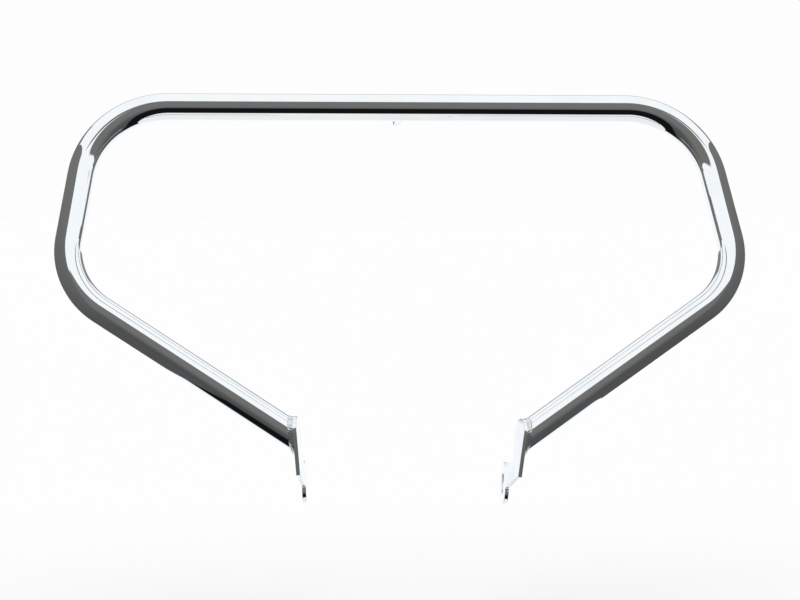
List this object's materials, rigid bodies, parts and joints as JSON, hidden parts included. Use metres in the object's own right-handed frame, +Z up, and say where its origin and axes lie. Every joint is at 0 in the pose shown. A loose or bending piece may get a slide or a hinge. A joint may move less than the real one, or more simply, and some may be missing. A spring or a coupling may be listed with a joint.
{
  "type": "motorcycle engine guard",
  "caption": "Chrome crash bar: one bent tube in a wide loop, with bolted foot plates on its arms and a bolt lug behind the top rail.",
  "frame": {"origin": "centre of the upper bolt hole, behind the middle of the top rail", "axes": "+X across the machine to the picture's right, +Y to the rear of the machine, +Z up"},
  "size_m": [0.7998, 0.206, 0.4699],
  "materials": {
    "chrome_tube": "polished chrome plating",
    "chrome_plate": "chrome plating over flat ground plate",
    "plated_weld": "chrome plating over rippled weld bead"
  },
  "bodies": {
    "root": {"main_tube": "chrome_tube", "left_foot_plate": "chrome_plate", "right_foot_plate": "chrome_plate", "upper_lug": "chrome_plate", "left_arm_weld": "plated_weld", "right_arm_weld": "plated_weld", "lug_weld": "plated_weld"}
  },
  "joints": []
}
